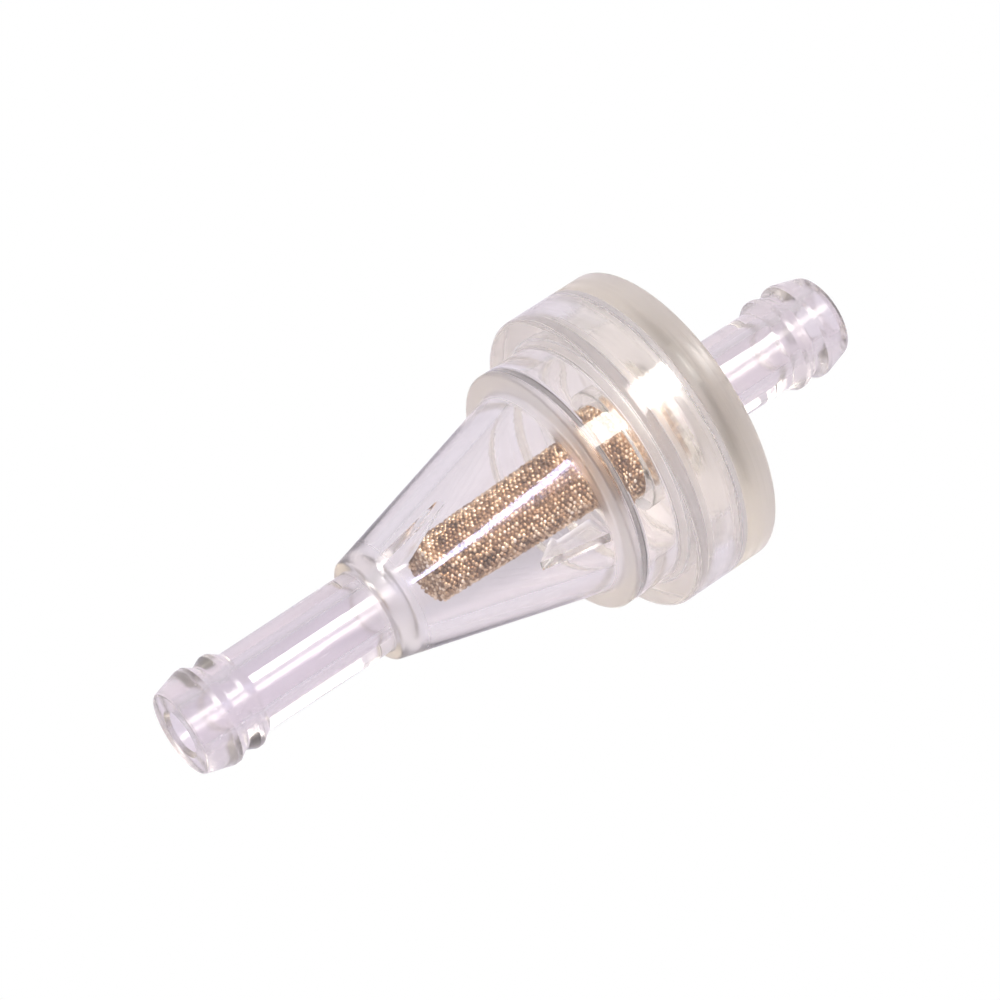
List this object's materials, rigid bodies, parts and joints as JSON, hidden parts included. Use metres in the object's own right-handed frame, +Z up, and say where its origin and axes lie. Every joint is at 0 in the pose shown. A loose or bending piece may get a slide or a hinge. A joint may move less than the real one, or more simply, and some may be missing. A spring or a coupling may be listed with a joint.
{
  "type": "in-line fuel filter",
  "caption": "Clear in-line fuel filter: barbed inlet nozzle, conical housing, welded collar and cap with a barbed outlet nozzle, around a tapered sintered bronze thimble.",
  "frame": {"origin": "middle of the filter's overall length, on the flow axis", "axes": "+X along the flow, from the inlet mouth to the outlet mouth; +Z up"},
  "size_m": [0.0582, 0.0236, 0.0238],
  "materials": {
    "clear_housing": "clear moulded plastic, glossy, faint lavender tint",
    "clear_cap": "clear moulded plastic, glossy, faint warm tint in its thick rim",
    "sintered_bronze": "fused bronze beads, dull brown with bright points"
  },
  "bodies": {
    "root": {"housing_body": "clear_housing", "outlet_cap": "clear_cap", "bronze_element": "sintered_bronze"}
  },
  "joints": []
}
